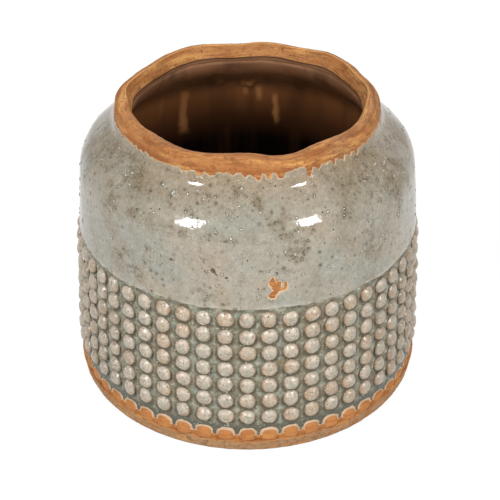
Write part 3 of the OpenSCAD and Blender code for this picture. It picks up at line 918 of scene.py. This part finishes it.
def blisters_tree():
    """Geometry Nodes: scatters small glaze blisters, most of them tiny, over the coat where it is whole."""
    tree, add, given = tree_with("glaze blisters", Float=("Density", "Smallest", "Largest", "Rise"),
                                 Int=("Seed",), Material=("Glaze",))
    whole = add("GeometryNodeInputNamedAttribute", {"Name": "whole"}, data_type="FLOAT")
    points = add("GeometryNodeDistributePointsOnFaces", {
        "Mesh": given["Geometry"], "Seed": given["Seed"],
        "Density": add("Math MULTIPLY", whole, given["Density"])})
    ball = add("GeometryNodeMeshUVSphere", 9, 6, 1.0)
    high = add("SeparateXYZ", add("GeometryNodeInputPosition")).outputs["Z"]
    marked = add("GeometryNodeStoreNamedAttribute", {"Geometry": ball, "Name": "crown", "Value": high},
                 domain="POINT", data_type="FLOAT")
    chance = add("FunctionNodeRandomValue", {"Seed": given["Seed"]}, data_type="FLOAT")
    few = add("Math POWER", chance, 1.6)
    wide = add("MapRange", few, {"To Min": given["Smallest"], "To Max": given["Largest"]})
    tall = add("Math MULTIPLY", wide, given["Rise"])
    copies = add("GeometryNodeInstanceOnPoints", {
        "Points": points, "Instance": marked, "Rotation": points.outputs["Rotation"],
        "Scale": add("CombineXYZ", wide, wide, tall)})
    real = add("GeometryNodeRealizeInstances", copies)
    add("NodeGroupOutput", add("GeometryNodeSetMaterial", {"Geometry": real, "Material": given["Glaze"]}))
    return tree


class PLANTER_OT_blisters(bpy.types.Operator):
    """Makes the small blisters in the shoulder's glaze"""
    bl_idname = "planter.blisters"
    bl_label = "Blisters"

    def execute(self, context):
        coat = bpy.data.objects.get("shoulder_glaze_coat")
        if coat is None:
            raise RuntimeError("Make the shoulder first: the blisters sit on its glaze")
        piece = bpy.data.objects.new("glaze_blisters", coat.data.copy())
        context.scene.collection.objects.link(piece)
        convert(piece, blisters_tree(), {
            "Density": 9500.0, "Smallest": mm(0.5), "Largest": mm(1.45), "Rise": 0.32, "Seed": 3,
            "Glaze": finish_named("stoneware_glaze_blister")})
        settle(piece, "stoneware_glaze_blister", "grey_glaze")
        return {"FINISHED"}


class PLANTER_OT_band(bpy.types.Operator):
    """Makes the pooled glaze between the hobnails, with its scalloped lower edge"""
    bl_idname = "planter.band"
    bl_label = "Band glaze"

    def execute(self, context):
        s = context.scene.pot_sizes
        angle = turn(s.hobnails * 14)
        foot_z = FOOT_ROW_TOP - s.hobnail_d / 2
        parts = (foot_z - mm(3), foot_z + mm(7), STEP_Z + mm(1))
        z = np.concatenate([np.linspace(*parts[:2], 20)[:-1], np.linspace(*parts[1:], 90)])[:, None]
        base = ground_r(s, z) - s.glaze_t + 0 * angle[None, :]
        height = z + 0 * base
        across = within(angle[None, :], ground_r(s, z), s.hobnails)
        x, y = around(angle, base)

        # The lower edge arches over each bare hobnail and dips between them
        half = s.hobnail_d / 2 + mm(0.45)
        half_h = (0.88 - 0.38 * foot_flat(angle)) * half
        over = half * (hobnail_reach(across, np.maximum(height - foot_z, 0), half, half_h) - 1)
        under = 0.63 * (height - foot_z) + 0.775 * (np.abs(across) - half)
        far = np.where(height > foot_z, np.minimum(over, height - foot_z + mm(2)), under)
        far = far + mm(0.2) * ripple(x, y, height, mm(3.5), 32)

        # Gutters run round the hobnails and under the step, dark with pooled glaze and painted shade that is
        # heaviest below each hobnail and under the step's overhang, and crumbs stand in the corners between
        # them
        nearest, gutter_pool_and_shade = 0 * base + mm(20), 0 * base
        for row_z in ROW_Z:
            over_row = height - row_z
            nearest = np.minimum(nearest, np.hypot(across, over_row))
            below = ease(over_row, mm(3), -mm(3.5)) * ease(over_row, -mm(9), -mm(7))
            # The ring's middle lies 1.3 mm low, so that the painted shade falls below each hobnail
            ring = ease(np.hypot(across, over_row + mm(1.3)), s.hobnail_d * 0.78, s.hobnail_d * 0.56)
            gutter_pool_and_shade = np.maximum(gutter_pool_and_shade, ring * (0.4 + 0.6 * below))
        bridge = np.clip(0.5 + 0.6 * ripple(x, y, 0 * height, mm(12), 35), 0, 1)
        gutter_pool_and_shade = np.maximum(gutter_pool_and_shade, ease(height, STEP_Z - mm(3.2), STEP_Z - mm(1)) * (1 - bridge))
        corner = ease(nearest, s.hobnail_d * 0.6, s.hobnail_d * 0.86)
        corner = corner * ease(height, foot_z + mm(6), foot_z + mm(9))
        crumb = corner * np.clip(0.3 + 0.5 * np.maximum(ripple(x, y, height, mm(4.2), 33), -0.4), 0, 1)
        thick = coat_depth(s.glaze_t, far, mm(0.5))
        thick = thick + ease(far, 0, mm(2)) * (mm(0.75) * crumb + mm(0.1) * ripple(x, y, height, mm(2.6), 34)
                                               - mm(0.25) * gutter_pool_and_shade)
        thick = thick + mm(0.8) * bridge * ease(height, STEP_Z - mm(2.4), STEP_Z - mm(0.4))
        fields = {"far": np.where(height > foot_z + mm(8), 9, far / mm(1)), "gutter_pool_and_shade": gutter_pool_and_shade,
                  "low": ease(height, foot_z + mm(9.5), foot_z + mm(5)), "crumb": crumb}
        back = np.linspace(len(z) - 1, 0, 10).round().astype(int)
        piece = ring_mesh("band_glaze_coat", angle,
                          [(base + thick, height), (base[back] - mm(0.8), height[back])], fields)
        settle(piece, "stoneware_glaze_pooled", "ground_glaze", "band_glaze")
        return {"FINISHED"}


def foot_flat(angle):
    """How far the foot's hobnails are squashed at each angle: those at the pot's sides were pressed
    flatter."""
    return ease(np.abs(np.sin(angle)), 0.45, 0.95)


def hobnail_reach(across, up, half_w, half_h):
    """How far out a point lies from the middle of a bare hobnail: 1 on its outline, which is a rounded
    square."""
    return ((np.abs(across) / half_w) ** 2.6 + (np.abs(up) / half_h) ** 2.6) ** (1 / 2.6)


def hobnail_dome(s):
    """One hobnail, standing out towards the front from the origin: a flat-topped dome with a flared skirt
    that dips under the ground. Its rings are given as shares of its half width and height."""
    rings = [(0.0, 1.0), (0.3, 0.965), (0.54, 0.86), (0.74, 0.68), (0.89, 0.44), (1.0, 0.18), (1.14, -0.1)]
    turns, square = 14, 2.25
    points, faces, crown = [], [], []
    for q, h in rings:
        for k in range(turns if q else 1):
            right, up = math.cos(2 * math.pi * k / turns), math.sin(2 * math.pi * k / turns)
            r = q * (abs(right) ** square + abs(up) ** square) ** (-1 / square) * s.hobnail_d / 2
            points.append((r * right, -h * s.hobnail_h, r * up))
            crown.append(h)
    for k in range(turns):
        n = (k + 1) % turns
        faces.append((0, 1 + k, 1 + n))
        for a in range(1, 1 + (len(rings) - 2) * turns, turns):
            faces.append((a + k, a + turns + k, a + turns + n, a + n))
    faces.append(tuple(reversed(range(len(points) - turns, len(points)))))
    points = np.array(points)
    spot = points[:, (0, 2, 1)] * (1, 1, 0) / (s.hobnail_d / 2)
    return add_mesh("hobnails_glazed", points, faces, {"crown": np.array(crown), "spot": spot})


def hobnail_rows_tree():
    """Geometry Nodes: sets one hobnail out in even rows round the leaning band, each a little off its place
    and size as if pressed by hand."""
    tree, add, given = tree_with(
        "hobnail rows", Float=("First height", "Row pitch", "Band radius", "Lean", "Unevenness"),
        Int=("Around", "Rows", "Seed"), Material=("Glaze",))
    index, count, seed = add("GeometryNodeInputIndex"), given["Around"], given["Seed"]

    # Where each stands: its turn round the pot, its height, and the band's radius there
    row = add("Math FLOOR", add("Math DIVIDE", index, count))
    share = add("Math DIVIDE", add("Math MODULO", index, count), count)
    angle = add("Math MULTIPLY", share, 2 * math.pi)
    high = add("Math MULTIPLY_ADD", row, given["Row pitch"], given["First height"])
    lean = add("Math MULTIPLY", add("Math ADD", high, -FOOT_H), given["Lean"])
    radius = add("Math SUBTRACT", given["Band radius"], lean)
    x, y = (add("Math MULTIPLY", add("Math", angle, operation=way), radius) for way in ("SINE", "COSINE"))
    place = add("CombineXYZ", x, add("Math MULTIPLY", y, -1.0), high)
    total = add("Math MULTIPLY", count, given["Rows"])
    points = add("GeometryNodePoints", {"Count": total, "Position": place})
    upright = add("Math MULTIPLY", add("Math ARCTANGENT", given["Lean"]), -1.0)

    # Its size, place and tilt, each a little off
    scale, sway, tilt = (
        add("FunctionNodeRandomValue", {"Min": low, "Max": most, "Seed": seed}, data_type="FLOAT_VECTOR")
        for low, most in (((0.95, 0.92, 1.0), (1.06, 1.08, 1.1)), ((-1, 0, -1), (1, 0, 1)),
                          ((-0.07, -0.3, -0.07), (0.07, 0.3, 0.07))))
    copies = add("GeometryNodeInstanceOnPoints", {
        "Points": points, "Instance": given["Geometry"], "Scale": scale,
        "Rotation": add("CombineXYZ", {"X": upright, "Z": angle})})
    sway = add("VectorMath MULTIPLY", sway, given["Unevenness"])
    moved = add("GeometryNodeTranslateInstances", {
        "Instances": copies, "Translation": sway, "Local Space": True})
    turned = add("GeometryNodeRotateInstances", {"Instances": moved, "Rotation": tilt, "Local Space": True})
    tint = add("FunctionNodeRandomValue", {"Seed": seed}, data_type="FLOAT")
    tinted = add("GeometryNodeStoreNamedAttribute", {"Geometry": turned, "Name": "tint", "Value": tint},
                 domain="INSTANCE", data_type="FLOAT")

    # Its shape, pushed out of true by soft noise
    spread = add("TexNoise", {"Scale": 1 / mm(5.5), "Detail": 1.0}).outputs["Color"]
    push = add("VectorMath SUBTRACT", spread, (0.5, 0.5, 0.5))
    push = add("VectorMath MULTIPLY", push, (mm(1.5),) * 3)
    real = add("GeometryNodeRealizeInstances", tinted)
    shaped = add("GeometryNodeSetPosition", {"Geometry": real, "Offset": push})
    add("NodeGroupOutput", add("GeometryNodeSetMaterial", {"Geometry": shaped, "Material": given["Glaze"]}))
    return tree


class PLANTER_OT_hobnails(bpy.types.Operator):
    """Makes the rows of glazed hobnails"""
    bl_idname = "planter.hobnails"
    bl_label = "Hobnails"

    def execute(self, context):
        s = context.scene.pot_sizes
        piece = hobnail_dome(s)
        convert(piece, hobnail_rows_tree(), {
            "Around": s.hobnails, "Rows": len(ROWS), "First height": ROW_Z[0], "Row pitch": ROW_PITCH,
            "Band radius": s.band_r, "Lean": s.band_lean / (STEP_Z - FOOT_H), "Unevenness": mm(0.3),
            "Seed": 7, "Glaze": finish_named("stoneware_glaze_hobnail")})

        # None of them stands out further than the lowest row of the CAD
        points = np.empty(3 * len(piece.data.vertices), np.float32)
        piece.data.vertices.foreach_get("co", points)
        points = points.reshape(-1, 3)
        reach = np.hypot(points[:, 0], points[:, 1])
        points[:, :2] *= np.minimum(1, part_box(ROWS[0])[1].x / reach)[:, None]
        piece.data.vertices.foreach_set("co", points.ravel())
        settle(piece, "stoneware_glaze_hobnail", "hobnail_glaze", *ROWS)
        return {"FINISHED"}


class PLANTER_OT_foot(bpy.types.Operator):
    """Makes the clay foot and the row of bare hobnails that runs out on it"""
    bl_idname = "planter.foot"
    bl_label = "Foot"

    def execute(self, context):
        s = context.scene.pot_sizes
        self.slab(s)
        self.hobnails(s)
        return {"FINISHED"}

    def slab(self, s):
        angle, recess, lap, floor_z = turn(416), mm(2.5), FOOT_H + mm(0.6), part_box("base_slab")[1].z
        hole_r, inside_r = s.drain_d / 2, ground_r(s, FOOT_H) - s.glaze_t - s.wall_t
        out_r = ground_r(s, FOOT_H) + mm(1.1)

        # Corners of the section, and how much of each is rounded off in mm
        corners = np.array([
            [hole_r, recess], [out_r - mm(18), recess], [out_r - mm(16.8), 0], [out_r - mm(3.2), 0],
            [out_r - mm(1.2), mm(2)], [out_r, FOOT_H], [out_r - mm(1.2), lap], [inside_r, lap],
            [inside_r, floor_z], [hole_r, floor_z]])
        soft = [0.4, 0.4, 0.6, 1.6, 1.6, 0.9, 0.3, 0.3, 0.3, 0.6]
        rounded = []
        for k, corner in enumerate(corners):
            ways = corners[k - 1] - corner, corners[(k + 1) % len(corners)] - corner
            cut = min(mm(soft[k]), *(0.45 * np.linalg.norm(way) for way in ways))
            a, b = (corner + cut * way / np.linalg.norm(way) for way in ways)
            rounded += [(1 - t) ** 2 * a + 2 * t * (1 - t) * corner + t * t * b
                        for t in (0, 0.25, 0.5, 0.75, 1)]
        line = []
        for a, b in zip(rounded, rounded[1:] + rounded[:1]):
            seen = a[0] > out_r - mm(5) and a[1] < FOOT_H + mm(1)
            parts = max(1, int(np.linalg.norm(b - a) / mm(0.9 if seen else 9)))
            line += [a + (b - a) * i / parts for i in range(parts)]
        line = np.array(line)

        # Its outer side is rubbed and a little uneven
        radius = line[:, 0:1] + 0 * angle[None, :]
        height = line[:, 1:2] + 0 * radius
        x, y = around(angle, radius)
        outer = ease(radius, out_r - mm(9), out_r - mm(3)) * (height < FOOT_H + mm(0.4))
        rubbed = outer * ease(height, mm(0.4), mm(1.6))
        radius = radius - mm(0.15) * outer + rubbed * mm(0.06) * (ripple(x, y, height, mm(9), 41)
                                                                  + ripple(x, y, height, mm(3), 42))
        height = height + outer * mm(0.05) * ripple(x, y, 0 * height, mm(7), 43) * (height > mm(0.5))
        height = np.maximum(height, 0)
        ragged = mm(0.8) * ripple(x, y, 0 * height, mm(6), 44)
        # Dusty, paler clay near the slab's top and near its bottom; at the very bottom edge, where both add
        # up, the value also lays a painted shadow
        dust_and_sole_shade = (ease(height + ragged, FOOT_H + mm(0.5), FOOT_H - mm(2))
                + ease(height + 0.5 * ragged, mm(2.2), mm(0.4)))
        piece = ring_mesh("base_slab_clay", angle, [(radius, height)], {"dust_and_sole_shade": dust_and_sole_shade})
        settle(piece, "earthenware_foot", "bare_clay", "base_slab")

    def hobnails(self, s):
        angle = turn(s.hobnails * 16)
        row_z = FOOT_ROW_TOP - s.hobnail_d / 2
        z = np.linspace(FOOT_H - mm(2), row_z + mm(6.5), 34)[:, None]
        base = ground_r(s, z) - s.glaze_t
        across = within(angle[None, :], base, s.hobnails)
        x, y = around(angle, base)
        wobble = mm(0.3) * ripple(x, y, 0 * z, mm(14), 51)
        half = s.hobnail_d / 2 + mm(0.35)
        flat = foot_flat(angle)
        over = hobnail_reach(across, np.maximum(z - row_z - wobble, 0), half, (0.92 - 0.38 * flat) * half)
        under = hobnail_reach(across, np.maximum(row_z - mm(0.8) - z, 0), half, mm(6))
        relief = s.hobnail_h * (0.98 - 0.5 * flat) * np.clip(1 - np.maximum(over, under) ** 3.4, 0, 1) ** 0.6
        relief = relief * (1 - 0.6 * ease(z, FOOT_H + mm(2.4), FOOT_H))
        radius = base + np.maximum(relief, 0) + mm(0.08) * ripple(x, y, z + 0 * x, mm(2.4), 52)
        radius = np.maximum(radius, base + mm(0.02))
        height = z + 0 * radius
        back = np.linspace(len(z) - 1, 0, 5).round().astype(int)
        piece = ring_mesh("foot_hobnails_clay", angle,
                          [(radius, height), (base[back] - mm(0.9) + 0 * radius[back], height[back])],
                          {"rim": over * ease(z, row_z - mm(2), row_z - mm(1))})
        settle(piece, "earthenware_hobnail", "bare_clay", "foot_hobnails")


class PLANTER_OT_liner(bpy.types.Operator):
    """Makes the brown glaze inside, thickened in runs down the wall"""
    bl_idname = "planter.liner"
    bl_label = "Inner glaze"

    def execute(self, context):
        s, angle, cove = context.scene.pot_sizes, turn(720), mm(4)
        foot_r = ground_r(s, FLOOR_Z) - s.glaze_t - s.wall_t
        line = np.concatenate([
            [[s.drain_d / 2 + mm(2), FLOOR_Z], [foot_r - cove, FLOOR_Z]],
            arc((foot_r - cove, FLOOR_Z + cove), cove, -math.pi / 2, 0, 8)[1:-1],
            [[foot_r, FLOOR_Z + cove]], inner_line(s)])
        points, normal = resample(line, 100)
        radius, height = spun(angle, points)
        x, y = around(angle, radius)
        level = 0 * height
        run = np.clip(ripple(x, y, 0.06 * height, mm(9), 61) - 0.9, 0, 2)
        run = run * ease(height, FLOOR_Z + mm(10), FLOOR_Z + mm(30)) * ease(height, mm(172), mm(150))
        thick, drip = s.liner_t + mm(0.12) * run, level
        for where, top, foot, half, relief in DRIPS:
            sway = mm(0.5) * ripple(level, level, height, mm(9), 62 + int(top))
            across = beside(angle, where, radius) + sway
            wide = mm(half) * (0.9 + 0.12 * ripple(level, level, height, mm(7), 63 + int(foot)))
            shape = (np.exp(-(across / wide) ** 4) * ease(height, mm(foot - 3), mm(foot + 3))
                     * ease(height, mm(top + 3), mm(top - 2)))
            thick = thick + mm(relief) * shape
            drip = np.maximum(drip, shape * min(relief, 1))
        back = np.linspace(len(points) - 1, 0, 30).round().astype(int)
        sides = [pushed(radius, height, normal, -thick), (radius[back], height[back])]
        piece = ring_mesh("liner_glaze_coat", angle, sides, {"drip": drip})
        settle(piece, "iron_glaze_brown", "brown_glaze", "liner_glaze")
        return {"FINISHED"}


class PLANTER_OT_wall(bpy.types.Operator):
    """Gives the clay wall behind the hobnails its finish"""
    bl_idname = "planter.wall"
    bl_label = "Wall"

    def execute(self, context):
        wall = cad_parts["hobnail_wall"]
        wall.data.materials.clear()
        wall.data.materials.append(finish_named("earthenware_wall"))
        return {"FINISHED"}


# ---------------------------------------------------------------- stage

def straight_rays(add):
    """1 for the rays that see a backdrop as such, from the camera or through glass, and less for mirrored
    ones, so that the glaze's sides don't glare."""
    path = add("LightPath").outputs
    mirrored = add("Math MULTIPLY", path["Is Glossy Ray"], 0.6)
    seen = add("Math MAXIMUM", path["Is Camera Ray"], mirrored)
    return add("Math MAXIMUM", seen, path["Is Transmission Ray"])


def aimed(name, data, aim, away, side, high):
    """A lamp or camera that looks at a point from so far away, at so many degrees from the front and over
    the floor."""
    thing = bpy.data.objects.new(name, data)
    bpy.context.scene.collection.objects.link(thing)
    across, up = math.radians(side), math.radians(high)
    way = Vector((math.sin(across) * math.cos(up), -math.cos(across) * math.cos(up), math.sin(up)))
    thing.location = aim + away * way
    thing.rotation_euler = way.to_track_quat("Z", "Y").to_euler()
    return thing


class PLANTER_OT_stage(bpy.types.Operator):
    """Sets up a pale floor, softboxes on either side in front, above and behind, fill light and the camera"""
    bl_idname = "planter.stage"
    bl_label = "Stage"

    def execute(self, context):
        scene = context.scene
        self.floor(scene.pot_colours.backdrop)
        self.world(scene)
        for name, side, high, power, width, tall in SOFTBOXES:
            lamp = bpy.data.lights.new(f"softbox_{name}", "AREA")
            lamp.shape = "RECTANGLE"
            lamp.size, lamp.size_y, lamp.energy = width, tall, power
            aimed(lamp.name, lamp, LAMP_AIM, LAMP_AWAY, side, high)
        camera = bpy.data.cameras.new("camera")
        camera.sensor_width, camera.lens, camera.clip_start = SENSOR, SENSOR * FOCAL_PX / PICTURE_PX, 0.01
        scene.camera = aimed("camera", camera, AIM, AWAY, 0, DOWN)
        scene.view_settings.view_transform = "Standard"
        return {"FINISHED"}

    def floor(self, paper):
        """Matt paper, seen as nearly white and lit as paper, so that the pot's shadow stays."""
        bpy.ops.mesh.primitive_plane_add(size=12)
        floor = bpy.context.object
        floor.name = "floor"
        material, add, shader = new_material("backdrop_paper")
        output = shader.outputs[0].links[0].to_node
        wire(shader, {"Base Color": paper, "Roughness": 0.9, "Specular IOR Level": 0.0})
        share = add("Math MULTIPLY", straight_rays(add), 0.86)
        glow = add("Emission", {"Color": (1, 1, 1, 1), "Strength": 1.07})
        wire(output, {"Surface": add("MixShader", share, shader, glow)})
        floor.data.materials.append(material)

    def world(self, scene):
        """White where it is seen, and a weak fill light on the pot."""
        world = bpy.data.worlds.new("studio")
        scene.world = world
        world.use_nodes = True
        world.node_tree.nodes.clear()
        add = partial(node, world.node_tree)
        fill, white = (add("Background", {"Color": (1, 1, 1, 1), "Strength": power}) for power in (0.26, 1.0))
        add("OutputWorld", {"Surface": add("MixShader", straight_rays(add), fill, white)})


STEPS = ["stage", "wall", "foot", "liner", "band", "hobnails", "shoulder", "blisters", "lip"]


class PLANTER_PT_panel(bpy.types.Panel):
    """Lists the planter's pieces"""
    bl_label = "Planter"
    bl_idname = "PLANTER_PT_panel"
    bl_space_type = "VIEW_3D"
    bl_region_type = "UI"
    bl_category = "Planter"

    def draw(self, context):
        for step in STEPS:
            self.layout.operator(f"planter.{step}")
        for settings in (context.scene.pot_sizes, context.scene.pot_colours):
            for key in settings.bl_rna.properties.keys():
                if key not in ("rna_type", "name"):
                    self.layout.prop(settings, key)


CLASSES = [PotSizes, PotColours, PLANTER_OT_stage, PLANTER_OT_wall, PLANTER_OT_foot, PLANTER_OT_liner,
           PLANTER_OT_band, PLANTER_OT_hobnails, PLANTER_OT_shoulder, PLANTER_OT_blisters, PLANTER_OT_lip,
           PLANTER_PT_panel]


def register():
    for cls in CLASSES:
        bpy.utils.register_class(cls)
    bpy.types.Scene.pot_sizes = bpy.props.PointerProperty(type=PotSizes)
    bpy.types.Scene.pot_colours = bpy.props.PointerProperty(type=PotColours)


def unregister():
    del bpy.types.Scene.pot_colours
    del bpy.types.Scene.pot_sizes
    for cls in reversed(CLASSES):
        bpy.utils.unregister_class(cls)


def main():
    register()
    for step in STEPS:
        getattr(bpy.ops.planter, step)()


if __name__ == "__main__":
    main()
